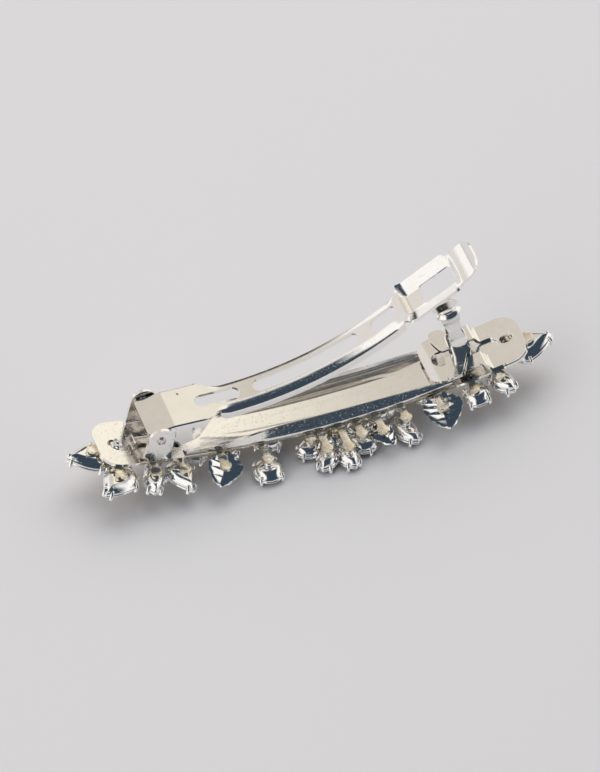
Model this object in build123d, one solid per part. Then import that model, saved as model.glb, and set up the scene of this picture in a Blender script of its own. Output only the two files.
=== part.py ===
from build123d import *
import os
from math import asin, cos, degrees, pi, radians, sin, sqrt

# Back-mechanism hair clip (barrette) with a rhinestone spray soldered under its base.
# X runs along the clip from the hinge to the catch, Y across it, Z up. The spray faces down and
# stands on Z = 0, and the mechanism is on top, as the clip lies when it is put down open.

# --- driving dimensions, mm ---
base_length = 80.0
base_half_width = 5.3
base_y = 3.4              # the base's centreline lies off the spray's middle
base_low = 5.1            # height of the tray floor at its lowest point
bend_radius = 160.0       # the whole clip follows the head on this radius
sheet = 0.6               # stamped steel of the base
flange_rise = 2.0         # tray flange above the floor at the middle
flange_radius = 480.0     # the flange's top edge is flatter than the floor
tray_end = 25.0
tray_bow_radius = 520.0   # the tray's walls bow outwards on this radius
tab_corner = 3.4
tab_hole_x = 37.0
tab_hole_radius = 0.95

ear_x = -30.6
ear_height = 7.4
ear_bottom_width = 5.2
ear_top_radius = 2.3
pivot_height = 5.0
pin_radius = 0.6
ear_bore_clearance = 0.03
pivot_clearance = 0.06
pin_head_radius = 0.95
pin_head_height = 0.35

arm_sheet = 0.5
arm_half_width = 3.5
arm_root_half_width = 4.45
arm_flange_drop = 1.9
arm_bend_radius = 56.0
arm_final_slope = 32.5
arm_run = 16.4            # straight run from the bowed part to the thumb tab
window_length = 6.9
window_centre = 11.8      # along the straight run
window_half_width = 2.1
loop_half_width = 4.5
tab_radius = 7.0          # thumb tab's curl
tab_sweep = 36

catch_x = 28.9
catch_lean = 4.0          # extra lean of the catch towards the hinge, degrees
catch_height = 15.3
prong_gap = 0.75
prong_sheet = 0.5
prong_width = 3.0
prong_start = 0.8
head_radius = 2.4
head_height = 2.0
wing_reach = 6.0
wing_rise = 2.6
deck_rise = 1.6

lattice_sheet = 0.8
pad_radius = 1.05          # soldering pad behind each setting
rib_width = 1.3
joint_gap = 0.02          # soldered faces are kept this far apart
claw_radius = 0.34
cup_depth = 1.5
crown_height = 1.0
claw_length = 2.9
leaf_sheet = 0.7


def base_height(x):
    # height of the base's upper face at a place along the clip
    return base_low + bend_radius - sqrt(bend_radius ** 2 - x ** 2)


def tilt(x):
    return degrees(asin(x / bend_radius))


def on_base(x, y, rise=0.0):
    # a place whose Z axis is the base's own normal, "rise" above its upper face
    angle = radians(tilt(x))
    spot = (x - rise * sin(angle), y, base_height(x) + rise * cos(angle))
    return Location(spot, (0, -tilt(x), 0))


def band(low, high):
    # the curved layer between two heights above the base's upper face
    centre = Location((0, base_y, base_low + bend_radius), (90, 0, 0))
    outer = Cylinder(bend_radius - low, 40)
    inner = Cylinder(bend_radius - high, 42)
    return centre * (outer - inner)


def prism(outline):
    # a plan outline drawn about the base's centreline, pulled up through the whole height
    return extrude(Location((0, base_y, -6)) * outline, 36)


def plate(outline, low, high):
    return prism(outline) & band(low, high)


def side_plate(outline, near, far):
    # an outline in X and Z pulled from one Y to the other
    return Location((0, far, 0)) * extrude(Plane.XZ * outline, far - near)


# --- base plate ---

def tray_outline(inset):
    half = base_half_width - 0.5 - inset
    bow = tray_bow_radius - sqrt(tray_bow_radius ** 2 - tray_end ** 2)
    left = (-tray_end, -half)
    right = (tray_end, -half)
    with BuildSketch() as sketch:
        with BuildLine():
            ThreePointArc(left, (0, -half - bow), right)
            Line(right, (tray_end, half))
            ThreePointArc((tray_end, half), (0, half + bow), (-tray_end, half))
            Line((-tray_end, half), left)
        make_face()
    return sketch.sketch


def base_outline():
    tabs = RectangleRounded(base_length, 2 * base_half_width, tab_corner)
    return tabs + tray_outline(0)


def ear(side):
    # one hinge ear, bent up from the base's edge
    rounding = Location((0, pivot_height)) * Circle(ear_top_radius)
    top = Location((0, ear_height - ear_top_radius)) * Circle(ear_top_radius)
    foot = Location((0, -sheet / 2)) * Rectangle(ear_bottom_width, sheet * 0.8)
    outline = make_hull(rounding.edges() + top.edges() + foot.edges())
    bore = Location((0, pivot_height)) * Circle(pin_radius + ear_bore_clearance)
    outer = side * base_half_width
    inner = side * (base_half_width - sheet)
    wall = side_plate(outline - bore, min(outer, inner), max(outer, inner))
    return on_base(ear_x, base_y) * wall


def spring_tongue():
    # a tongue lanced from the floor between the ears
    strip = Location((-0.2, 0, 0.5)) * Rotation(0, -9, 0) * Box(5.4, 2.6, 0.4)
    return on_base(ear_x, base_y) * strip


def base_plate():
    body = plate(base_outline(), -sheet, 0)
    walls = plate(tray_outline(0), -sheet, flange_rise + 1)
    walls -= plate(tray_outline(sheet), 0, flange_rise + 2)
    top_centre = Location((0, base_y, base_low + flange_rise + flange_radius), (90, 0, 0))
    walls -= top_centre * Cylinder(flange_radius, 42)
    cap_cut = 4 * sheet
    for side in (-1, 1):
        walls -= Location((side * tray_end, base_y, 12)) * Box(cap_cut, 6, 12)
    body += walls
    body += ear(-1)
    body += ear(1)
    body += spring_tongue()
    for side in (-1, 1):
        hole = on_base(side * tab_hole_x, base_y) * Cylinder(tab_hole_radius, 8)
        body -= hole
    return body


# --- hinge pin ---

def pivot_point():
    angle = radians(tilt(ear_x))
    x = ear_x - pivot_height * sin(angle)
    z = base_height(ear_x) + pivot_height * cos(angle)
    return x, z


def hinge_pin():
    x, z = pivot_point()
    length = 2 * base_half_width + 0.1
    shank = Cylinder(pin_radius, length)
    for side in (-1, 1):
        head = Location((0, 0, side * (length + pin_head_height) / 2))
        shank += head * Cylinder(pin_head_radius, pin_head_height)
    return Location((x, base_y, z), (90, 0, 0)) * shank


# --- clasp arm ---

def turned(centre, radius, slope):
    # the point of an upward-bowed curve where it has this slope
    angle = radians(slope)
    return centre[0] + radius * sin(angle), centre[1] - radius * cos(angle)


def arm_points(rise):
    # the arm's line in X and Z, "rise" above its upper face
    tail = (-31.7, base_low + 8.95 + rise)
    bend = (-26.8, base_low + 9.6 + rise)
    first_slope = -3.0
    root_face = (-20.0, base_low + 9.3)
    radius = arm_bend_radius
    centre = turned(root_face, -radius, first_slope)
    middle_slope = (first_slope + arm_final_slope) / 2
    root = turned(centre, radius - rise, first_slope)
    middle = turned(centre, radius - rise, middle_slope)
    end = turned(centre, radius - rise, arm_final_slope)
    slope = radians(arm_final_slope)
    loop_end = (end[0] + arm_run * cos(slope), end[1] + arm_run * sin(slope))
    curl_centre = turned(loop_end, -(tab_radius - rise), arm_final_slope)
    curl_middle = turned(curl_centre, tab_radius - rise, arm_final_slope + tab_sweep / 2)
    tip = turned(curl_centre, tab_radius - rise, arm_final_slope + tab_sweep)
    return tail, bend, root, middle, end, loop_end, curl_middle, tip


def arm_layer(low, high, whole, near, far):
    # a layer between two heights above the arm's face, with or without its root and thumb tab
    lower = arm_points(low)
    upper = arm_points(high)
    with BuildSketch(Plane.XZ) as sketch:
        with BuildLine():
            for tail, bend, root, middle, end, loop_end, curl, tip in (lower, upper):
                ThreePointArc(root, middle, end)
                Line(end, loop_end)
                if whole:
                    Line(tail, bend)
                    Line(bend, root)
                    ThreePointArc(loop_end, curl, tip)
            first = 0 if whole else 2
            last = 7 if whole else 5
            Line(lower[first], upper[first])
            Line(lower[last], upper[last])
        make_face()
    return Location((0, base_y + far, 0)) * extrude(sketch.sketch, far - near)


def arm_outline():
    # the arm seen from above, as half of it mirrored
    neck = arm_half_width
    half = [(-31.7, 0), (-31.7, arm_root_half_width - 0.5), (-31.0, arm_root_half_width)]
    half += [(-20.0, arm_root_half_width), (-18.4, neck), (16.6, neck), (17.8, loop_half_width)]
    half += [(26.0, loop_half_width), (27.0, 3.7), (33.0, 3.7), (33.0, 0)]
    other = [(x, -y) for x, y in reversed(half[1:-1])]
    return make_face(Polyline(half + other, close=True).edges())


def on_loop(distance):
    # a place on the straight run, its X axis along the arm
    end = arm_points(0)[4]
    slope = radians(arm_final_slope)
    spot = (end[0] + distance * cos(slope), base_y, end[1] + distance * sin(slope))
    return Location(spot, (0, -arm_final_slope, 0))


def arm_slots():
    # lightening slots pierced straight down through the channel
    slots = []
    for start, stop, half_width in ((-21.8, -13.4, 1.8), (-11.0, 8.8, 1.8), (11.0, 16.2, 1.9)):
        length = stop - start
        shape = SlotOverall(length, 2 * half_width)
        slots.append(extrude(Location(((start + stop) / 2, base_y, 5)) * shape, 40))
    return slots


def gusset(side):
    # the side web that hangs from the arm's root and carries the pivot
    x, z = pivot_point()
    boss = Location((x, z)) * Circle(1.35)
    corners = [(-31.0, 8.6), (-26.8, 9.2), (-20.3, 9.0), (-22.3, 5.1), (-26.9, 3.9)]
    web = Location((0, base_low)) * make_face(Polyline(corners, close=True).edges())
    outline = make_hull(boss.edges() + web.edges())
    outline -= Location((x, z)) * Circle(pin_radius + pivot_clearance)
    outer = side * arm_root_half_width
    inner = side * (arm_root_half_width - arm_sheet)
    wall = side_plate(outline, min(outer, inner), max(outer, inner))
    return Location((0, base_y, 0)) * wall


def clasp_arm():
    half = arm_root_half_width + 1
    arm = arm_layer(-arm_sheet, 0, True, -half, half)
    walls = arm_layer(-arm_flange_drop, 0, False, -arm_half_width, arm_half_width)
    inner = arm_half_width - arm_sheet
    walls -= arm_layer(-arm_flange_drop - 1, -arm_sheet, False, -inner, inner)
    channel_start = -18.2
    channel_end = 16.2
    for x, length in ((channel_start - 3, 6), (channel_end + 6, 12)):
        walls -= Location((x, base_y, 25)) * Box(length, 12, 40)
    arm += walls
    arm &= extrude(Location((0, base_y, 0)) * arm_outline(), 50)
    for slot in arm_slots():
        arm -= slot
    arm -= on_loop(window_centre) * Box(window_length, 2 * window_half_width, 6)
    arm += gusset(-1)
    arm += gusset(1)
    return arm


# --- catch ---

def end_plate():
    # the stamped plate over the catch end: a raised deck, a step down and the end tab
    deck_length = 11.0
    deck_start = 21.5
    deck_end = deck_start + deck_length
    step = 0.6
    deck = Location(((deck_start + deck_end) / 2, 0)) * RectangleRounded(deck_length, 10.4, 2.6)
    square_end = Location((deck_end - 2, 0)) * Rectangle(4, 10.4)
    top = deck_rise + sheet
    body = plate(deck + square_end, deck_rise, top)
    body += plate(Location((deck_end - step / 2, 0)) * Rectangle(step, 10.4), joint_gap, top)
    tab_end = base_length / 2
    tab_length = tab_end - deck_end + step
    tab = Location((tab_end - tab_length / 2, 0)) * RectangleRounded(tab_length, 10.4, tab_corner)
    tab += Location((deck_end + 1, 0)) * Rectangle(3, 10.4)
    body += plate(tab, joint_gap, joint_gap + sheet)
    body -= prism(Location((29.4, 0)) * SlotOverall(12.6, 3.4))
    body -= on_base(tab_hole_x, base_y) * Cylinder(tab_hole_radius, 8)
    return body


def catch_foot():
    # the strip under the deck that both spring prongs grow from
    return plate(Location((28.8, 0)) * Rectangle(3.6, 5.6), joint_gap, 0.5)


def half_button(side):
    # one half of the catch's rounded head
    with BuildSketch(Plane.XZ) as profile:
        with BuildLine():
            Polyline((0, 0), (1.4, 0), (head_radius - 0.3, 0.5))
            ThreePointArc((head_radius - 0.3, 0.5), (head_radius, 1.0), (head_radius - 0.6, 1.6))
            ThreePointArc((head_radius - 0.6, 1.6), (1.2, head_height - 0.08), (0, head_height))
            Line((0, head_height), (0, 0))
        make_face()
    button = revolve(profile.sketch, Axis.Z)
    reach = 2 * head_radius
    return button & Location((0, side * (prong_gap + reach / 2), 0)) * Box(reach + 1, reach, 9)


def catch_prong(side):
    leaning = on_base(catch_x, base_y) * Location((0, 0, 0), (0, -catch_lean, 0))
    length = catch_height - head_height - prong_start
    across = side * (prong_gap + prong_sheet / 2)
    neck = Location((0, across, prong_start + length / 2)) * Box(prong_width, prong_sheet, length)
    head = Location((0, 0, catch_height - head_height)) * half_button(side)
    prong = leaning * (neck + head)
    root = Location((-1.5, side * prong_gap)) * Rectangle(4.4, 0.4)
    lobe = Location((-3.4, side * (wing_reach - 1.3))) * Circle(1.3)
    wing = extrude(make_hull(root.edges() + lobe.edges()), prong_sheet)
    wing &= Location((0, side * (prong_gap + 5), 0)) * Box(20, 10, 9)
    return prong + on_base(catch_x, base_y, wing_rise) * wing


# --- rhinestone spray ---

def outline_points(kind, length, width, count=16):
    # a gem outline about its middle, tip towards +X
    points = []
    for step in range(count):
        angle = 2 * pi * step / count
        x = cos(angle) * length / 2
        y = sin(angle) * width / 2
        if kind == "pear":
            y *= abs(sin(angle / 2)) / 0.77
        if kind == "marquise":
            y *= abs(sin(angle)) ** 0.5
        points.append((x, y))
    return points


def gem_face(kind, length, width, height):
    points = outline_points(kind, length, width)
    corners = [(x, y, height) for x, y in points]
    return Face(Wire.make_polygon(corners, close=True))


def gem_layer(kind, length, width, low_scale, low, high_scale, high):
    lower = gem_face(kind, length * low_scale, width * low_scale, low)
    upper = gem_face(kind, length * high_scale, width * high_scale, high)
    return loft([lower, upper])


def stone_solid(kind, length, width):
    # a foil-backed stone: pavilion, girdle band and flat-topped crown
    girdle = 0.3
    inner_length = length - 0.9
    inner_width = width - 0.9
    size = (kind, inner_length, inner_width)
    stone = gem_layer(*size, 0.3, 0.55, 1.0, cup_depth)
    stone += gem_layer(*size, 1.0, cup_depth, 1.0, cup_depth + girdle)
    stone += gem_layer(*size, 1.0, cup_depth + girdle, 0.6, cup_depth + crown_height)
    return stone


def claw_count(kind):
    return {"round": 4, "pear": 5, "marquise": 4}[kind]


def setting_solid(kind, length, width, stem):
    # a stamped cup with claws; its back faces the lattice and is at local Z = 0
    cup = gem_layer(kind, length, width, 0.7, 0, 1.0, cup_depth)
    cup -= gem_layer(kind, length - 0.8, width - 0.8, 0.3, 0.4, 1.0, cup_depth + 0.01)
    claws = claw_count(kind)
    for index in range(claws):
        angle = 2 * pi * (index + 0.5) / claws
        corner = outline_points(kind, length, width, 720)[round(720 * angle / (2 * pi)) % 720]
        claw = Cylinder(claw_radius, claw_length - 0.6)
        cup += Location((corner[0] * 1.03, corner[1] * 1.03, (claw_length + 0.6) / 2)) * claw
    if stem > 0.05:
        cup += Location((0, 0, -stem / 2)) * Cylinder(0.9, stem)
    return cup


def under_base(x, y, heading, stem):
    # hangs a spray piece under the lattice, "stem" below it, turned to its heading
    depth = sheet + lattice_sheet + 2 * joint_gap + stem
    return on_base(x, y, -depth) * Location((0, 0, 0), (180, 0, 0)) * Location((0, 0, 0), (0, 0, -heading))


def standing(x, y, heading):
    # the same, but square to the ground with its claws on it
    return Location((x, y, claw_length), (180, 0, 0)) * Location((0, 0, 0), (0, 0, -heading))


def standing_stem(x):
    return base_height(x) - sheet - lattice_sheet - 3 * joint_gap - claw_length - 0.15


single_gems = {
    "left_end_pear": ("pear", -40.8, 3.2, 8.4, 6.0, 180, False),
    "left_corner_pear": ("pear", -37.6, -3.3, 8.4, 6.0, 222, False),
    "left_marquise": ("marquise", -31.2, -3.6, 6.6, 3.8, 255, False),
    "left_lower_pear": ("pear", -26.0, -3.8, 7.2, 5.2, 280, False),
    "drum_round": ("round", -11.0, -4.9, 5.4, 5.4, 0, True),
    "flower_centre": ("round", 2.6, -1.7, 4.0, 4.0, 0, True),
    "right_marquise": ("marquise", 15.2, -4.2, 7.0, 4.0, 290, True),
    "open_back_round": ("round", 28.4, -3.2, 4.8, 4.8, 0, False),
    "right_lower_marquise": ("marquise", 33.4, -2.6, 6.4, 3.8, 295, False),
    "right_end_pear": ("pear", 40.8, 2.6, 8.4, 6.0, 0, False),
    "far_left_pear": ("pear", -34.2, 6.6, 6.4, 4.4, 140, False),
    "far_middle_left_pear": ("pear", -17.6, 6.3, 6.2, 4.4, 110, True),
    "far_middle_pear": ("pear", 0.0, 6.2, 6.2, 4.4, 90, False),
    "far_middle_right_pear": ("pear", 17.6, 6.3, 6.2, 4.4, 70, True),
    "far_right_pear": ("pear", 34.2, 6.6, 6.4, 4.4, 40, False),
    "inner_left_pear": ("pear", -22.6, 1.4, 6.0, 4.2, 180, False),
    "inner_right_pear": ("pear", 21.0, 1.4, 6.0, 4.2, 0, False),
}

grouped_gems = {
    "far_marquise": ("marquise", 6.0, 3.2, [(-26.2, 6.4, 115), (-8.6, 6.5, 100), (8.6, 6.5, 80), (26.0, 6.4, 65)]),
    "inner_marquise": ("marquise", 5.6, 3.2, [(-9.2, 0.4, 160), (12.6, 0.6, 20)]),
    "small_round": ("round", 3.4, 3.4, [(-30.0, 1.4, 0), (-16.0, 0.8, 0), (30.6, 2.2, 0)]),
}

petal_reach = 4.95
petal_length = 5.6
petal_width = 3.9
petal_headings = (190, 235, 280, 325, 10)


def petal_places():
    _, x, y, *_ = single_gems["flower_centre"]
    places = []
    for heading in petal_headings:
        turn = radians(heading)
        places.append((x + petal_reach * cos(turn), y + petal_reach * sin(turn), heading))
    return places


def gem_nodes():
    nodes = {}
    for name, (kind, x, y, length, width, heading, stands) in single_gems.items():
        stem = standing_stem(x) if stands else 0
        place = standing(x, y, heading) if stands else under_base(x, y, heading, 0)
        nodes[name + "_setting"] = place * setting_solid(kind, length, width, stem)
        nodes[name + "_stone"] = place * stone_solid(kind, length, width)
    for name, (kind, length, width, places) in grouped_gems.items():
        settings = []
        stones = []
        for x, y, heading in places:
            place = under_base(x, y, heading, 0)
            settings.append(place * setting_solid(kind, length, width, 0))
            stones.append(place * stone_solid(kind, length, width))
        nodes[name + "_settings"] = Compound(settings)
        nodes[name + "_stones"] = Compound(stones)
    petals = []
    stones = []
    for x, y, heading in petal_places():
        petal = setting_solid("marquise", petal_length, petal_width, standing_stem(x))
        petals.append(standing(x, y, heading) * petal)
        stones.append(standing(x, y, heading) * stone_solid("marquise", petal_length, petal_width))
    nodes["flower_petal_settings"] = Compound(petals)
    nodes["flower_petal_stones"] = Compound(stones)
    return nodes


def ribbed_leaf(x, y, length, width, heading, ribs):
    # a stamped leaf with ribs across it, tip outwards
    leaf = gem_layer("marquise", length, width, 1.0, 0, 0.92, leaf_sheet)
    for rib in range(ribs):
        along = (rib + 0.5 - ribs / 2) * length * 0.7 / ribs
        span = width * (1 - (2 * along / length) ** 2) * 0.8
        ridge = Location((along, 0, leaf_sheet), (90, 0, 0)) * Cylinder(length * 0.26 / ribs, span)
        leaf += ridge
    return under_base(x, y, heading, 0) * leaf


def lattice_places():
    spots = [(gem[1], gem[2]) for gem in single_gems.values()]
    for _, _, _, places in grouped_gems.values():
        spots += [(x, y) for x, y, _ in places]
    spots += [(x, y) for x, y, _ in petal_places()]
    spots += [(leaf[0], leaf[1]) for leaf in leaves.values()]
    return spots


leaves = {
    "ribbed_leaf_left": (-18.8, -4.6, 9.2, 6.2, 240, 6),
    "folded_leaf": (10.4, -5.2, 7.2, 4.2, 290, 5),
    "ribbed_leaf_right": (22.0, -4.6, 9.4, 7.2, 262, 7),
}


def backing_lattice():
    # the pierced plate under the base that the spray is soldered to
    outline = RectangleRounded(79.4, 9.0, 4)
    for x, y in lattice_places():
        reach = abs(y - base_y)
        outline += Location((x, y - base_y)) * Circle(pad_radius)
        outline += Location((x, (y - base_y) / 2)) * Rectangle(rib_width, reach + 0.1)
    end_rib = Rectangle(2 * 40.8, rib_width)
    outline += end_rib
    for step in range(-6, 7):
        outline -= Location((step * 5.6, -1.6)) * Circle(1.0)
        outline -= Location((step * 5.6 + 2.8, 1.8)) * Circle(1.0)
    top = -sheet - joint_gap
    return plate(outline, top - lattice_sheet, top)


def all_nodes():
    nodes = {
        "base_plate": base_plate(),
        "end_plate": end_plate(),
        "catch_foot": catch_foot(),
        "catch_prong_near": catch_prong(-1),
        "catch_prong_far": catch_prong(1),
        "clasp_arm": clasp_arm(),
        "hinge_pin": hinge_pin(),
        "backing_lattice": backing_lattice(),
    }
    for name, leaf in leaves.items():
        nodes[name] = ribbed_leaf(*leaf)
    nodes.update(gem_nodes())
    return nodes


os.makedirs("parts", exist_ok=True)
for node, shape in all_nodes().items():
    export_step(shape, "parts/" + node + ".step")
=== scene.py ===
from math import asin, atan2, cos, exp, pi, radians, sin, sqrt, tan

import bmesh
import bpy
from mathutils import Matrix, Vector


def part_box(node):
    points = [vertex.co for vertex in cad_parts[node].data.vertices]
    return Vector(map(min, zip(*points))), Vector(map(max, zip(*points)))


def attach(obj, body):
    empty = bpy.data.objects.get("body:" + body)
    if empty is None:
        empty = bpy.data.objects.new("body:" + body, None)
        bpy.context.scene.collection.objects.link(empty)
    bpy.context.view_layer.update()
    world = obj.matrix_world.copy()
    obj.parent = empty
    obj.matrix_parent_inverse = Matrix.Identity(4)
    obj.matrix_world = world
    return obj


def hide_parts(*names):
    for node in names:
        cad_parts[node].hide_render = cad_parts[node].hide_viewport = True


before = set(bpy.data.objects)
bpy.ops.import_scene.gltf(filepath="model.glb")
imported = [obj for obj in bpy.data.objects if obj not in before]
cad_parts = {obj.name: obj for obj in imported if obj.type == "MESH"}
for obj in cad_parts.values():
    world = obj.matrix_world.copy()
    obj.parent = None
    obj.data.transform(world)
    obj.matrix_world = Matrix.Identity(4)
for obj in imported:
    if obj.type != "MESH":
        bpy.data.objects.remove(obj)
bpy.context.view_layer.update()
print("frame loaded:", len(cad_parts), "nodes")

# everything below is modelled in millimetres and brought to metres as each piece is finished
mm = 0.001

pinLow, pinHigh = (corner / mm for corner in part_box("hinge_pin"))
baseShape = {"bendRadius": 160.0, "sheet": 0.6}
baseY = (pinLow.y + pinHigh.y) / 2
floorLow = (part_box("base_plate")[0] / mm).z + baseShape["sheet"]    # the tray floor at its lowest
pivotX = (pinLow.x + pinHigh.x) / 2
pivotZ = (pinLow.z + pinHigh.z) / 2


class Num:
    # one socket of numbers, so that sums on it read as sums
    def __init__(self, nodes, socket):
        self.nodes = nodes
        self.socket = socket

    def sum(self, kind, other, swapped=False):
        first, second = (other, self) if swapped else (self, other)
        return self.nodes.add("ShaderNodeMath", {"operation": kind}, {0: first, 1: second})

    def __add__(self, other):
        return self.sum("ADD", other)

    def __radd__(self, other):
        return self.sum("ADD", other, True)

    def __sub__(self, other):
        return self.sum("SUBTRACT", other)

    def __rsub__(self, other):
        return self.sum("SUBTRACT", other, True)

    def __mul__(self, other):
        return self.sum("MULTIPLY", other)

    def __rmul__(self, other):
        return self.sum("MULTIPLY", other, True)


class Nodes:
    # a node tree that grows by one call per node
    def __init__(self, tree):
        self.tree = tree

    def add(self, kind, settings=None, values=None, out=0):
        node = self.tree.nodes.new(kind)
        for name, value in (settings or {}).items():
            setattr(node, name, value)
        for name, value in (values or {}).items():
            socket = node.inputs[name]
            if isinstance(value, Num):
                self.tree.links.new(value.socket, socket)
            else:
                socket.default_value = value
        return Num(self, node.outputs[out])

    def noise(self, where, scale, detail=2.0, rough=0.5):
        values = {"Vector": where, "Scale": scale, "Detail": detail, "Roughness": rough}
        return self.add("ShaderNodeTexNoise", {}, values, "Fac")

    def spread(self, value, low, high, toLow=0.0, toHigh=1.0):
        # stretches low..high over toLow..toHigh, cut off outside
        values = {"Value": value, "From Min": low, "From Max": high, "To Min": toLow, "To Max": toHigh}
        return self.add("ShaderNodeMapRange", {"interpolation_type": "SMOOTHSTEP"}, values)

    def mix(self, mask, first, second):
        # blends two colours
        node = self.tree.nodes.new("ShaderNodeMix")
        node.data_type = "RGBA"
        for name, value in (("Factor", mask), ("A", first), ("B", second)):
            socket = [s for s in node.inputs if s.name == name and s.enabled][0]
            if isinstance(value, Num):
                self.tree.links.new(value.socket, socket)
            else:
                socket.default_value = (*value, 1) if name != "Factor" else value
        return Num(self, [s for s in node.outputs if s.enabled][0])


def newMaterial(name, settings):
    # a Principled material; returns its nodes helper, the shader node and the object coordinates
    material = bpy.data.materials.new(name)
    material.use_nodes = True
    tree = material.node_tree
    shader = tree.nodes["Principled BSDF"]
    for socket, value in settings.items():
        shader.inputs[socket].default_value = value
    nodes = Nodes(tree)
    where = nodes.add("ShaderNodeTexCoord", {}, {}, "Object")
    return material, nodes, shader, where


def feed(nodes, shader, name, value):
    nodes.tree.links.new(value.socket, shader.inputs[name])


def bump(nodes, shader, height, strength, distance):
    values = {"Height": height, "Strength": strength, "Distance": distance}
    feed(nodes, shader, "Normal", nodes.add("ShaderNodeBump", {}, values))


def silverPlate(name, look):
    # bright plating: waviness from the press, drawing lines along the clip, fine pits
    material, nodes, shader, where = newMaterial(name, {"Metallic": 1.0})
    stretched = nodes.add("ShaderNodeMapping", {}, {"Vector": where, "Scale": look["lineScale"]})
    lines = nodes.noise(stretched, 1.0, 3.0, 0.55)
    wave = nodes.noise(where, look["waveScale"], 2.0, 0.5)
    pits = nodes.spread(nodes.noise(where, look["pitScale"], 2.0, 0.6), 0.60, 0.78)
    stain = nodes.spread(nodes.noise(where, look["stainScale"], 3.0, 0.6), 0.35, 0.75)
    feed(nodes, shader, "Base Color", nodes.mix(stain * look["stain"], look["clean"], look["warm"]))
    feed(nodes, shader, "Roughness", look["rough"] + lines * look["lineRough"] + pits * 0.10)
    height = wave * look["wave"] + lines * look["line"] - pits * look["pit"]
    bump(nodes, shader, height, 1.0, 0.0001)
    return material


def patchy(name, look):
    # warm, a little dull metal in random cloudy patches of a deep and a light tint; on the backing lattice
    # the warm brown-gold is painted shade and painted reflection, on the foil it is the foil's own amber
    material, nodes, shader, where = newMaterial(name, {"Metallic": 1.0})
    cloud = nodes.noise(where, 420.0, 4.0, 0.6)
    grain = nodes.noise(where, 2600.0, 2.0, 0.6)
    mask = nodes.spread(cloud, 0.36, 0.66)
    feed(nodes, shader, "Base Color", nodes.mix(mask, look["deep"], look["light"]))
    feed(nodes, shader, "Roughness", look["rough"] + grain * 0.18)
    bump(nodes, shader, cloud * look["cloud"] + grain * look["grain"], 1.0, 0.0001)
    return material


def crystalGlass(name):
    settings = {"Metallic": 0.0, "IOR": 1.54, "Transmission Weight": 1.0}
    material, nodes, shader, where = newMaterial(name, settings)
    haze = nodes.noise(where, 900.0, 2.0, 0.5)
    feed(nodes, shader, "Base Color", nodes.mix(haze, (0.97, 0.98, 1.0), (0.93, 0.95, 0.98)))
    feed(nodes, shader, "Roughness", 0.01 + haze * 0.02)
    return material


plateLook = {"clean": (0.965, 0.95, 0.925), "warm": (0.93, 0.895, 0.83), "stain": 0.45, "rough": 0.07,
             "lineScale": (60.0, 1500.0, 1500.0), "lineRough": 0.06, "line": 0.10,
             "waveScale": 190.0, "wave": 0.30, "stainScale": 330.0, "pitScale": 3800.0, "pit": 0.10}
trayLook = dict(plateLook, rough=0.08, line=0.22, lineRough=0.10, pit=0.22, pitScale=3400.0)
cupLook = dict(plateLook, clean=(0.97, 0.96, 0.95), rough=0.045, line=0.0, lineRough=0.02, wave=0.15,
               pit=0.12, pitScale=2600.0, stain=0.3)
pinLook = dict(plateLook, clean=(0.80, 0.76, 0.70), warm=(0.62, 0.55, 0.46), stain=0.9, rough=0.2,
               wave=0.8, pit=0.9, pitScale=2400.0)

trayPlate = silverPlate("drawn silver plate", trayLook)
armPlate = silverPlate("arm silver plate", plateLook)
cupPlate = silverPlate("cast silver plate", cupLook)
pinMetal = silverPlate("pin steel", pinLook)
# the backing lattice's warm brown-gold is painted shade and painted reflection, not the plating's own colour
latticeShadePaint = patchy("backing plate with painted shade", {"deep": (0.80, 0.70, 0.52), "light": (0.96, 0.92, 0.84),
                                               "rough": 0.11, "cloud": 1.2, "grain": 0.25})
foil = patchy("amber foil", {"deep": (0.55, 0.33, 0.10), "light": (0.90, 0.66, 0.32), "rough": 0.15,
                             "cloud": 0.3, "grain": 0.3})
crystal = crystalGlass("clear crystal")
print("finishes made")


def finishPiece(name, bm, materials, body, nodes=(), wall=None, edge=None, smooth=True):
    # millimetres to metres, then an object that rides its body; wall and edge are modifiers in mm
    bmesh.ops.scale(bm, verts=bm.verts[:], vec=(mm, mm, mm))
    mesh = bpy.data.meshes.new(name)
    for face in bm.faces:
        face.smooth = smooth
    bm.to_mesh(mesh)
    bm.free()
    piece = bpy.data.objects.new(name, mesh)
    bpy.context.scene.collection.objects.link(piece)
    for material in materials:
        mesh.materials.append(material)
    if wall:
        solid = piece.modifiers.new("wall", "SOLIDIFY")
        solid.thickness = wall * mm
        solid.offset = -1
        solid.use_even_offset = False
    if edge:
        bevel = piece.modifiers.new("edge", "BEVEL")
        bevel.width = edge * mm
        bevel.segments = 2
        bevel.limit_method = "ANGLE"
        bevel.angle_limit = radians(38)
        bevel.harden_normals = True
        bevel.use_clamp_overlap = True
    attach(piece, body)
    if nodes:
        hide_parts(*nodes)
    return piece


def ring(bm, corners, segments=6):
    # a closed outline from (x, y, corner radius), with its corners rounded
    verts = [bm.verts.new((x, y, 0)) for x, y, _ in corners]
    bm.faces.new(verts)
    for radius in sorted({r for _, _, r in corners if r > 0}):
        chosen = [v for v, c in zip(verts, corners) if c[2] == radius and v.is_valid]
        bmesh.ops.bevel(bm, geom=chosen, offset=radius, offset_type="OFFSET", segments=segments,
                        profile=0.5, affect="VERTICES", material=-1, clamp_overlap=True)


def slotRing(bm, x, y, length, halfWidth, segments=24):
    # a round-ended slot, or a round hole when its length is its width
    made = bmesh.ops.create_circle(bm, cap_ends=False, segments=segments, radius=halfWidth)
    for vert in made["verts"]:
        vert.co.x += (length / 2 - halfWidth) * (1 if vert.co.x > 0 else -1) * (abs(vert.co.x) > 1e-4)
        vert.co.x += x
        vert.co.y += y


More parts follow.
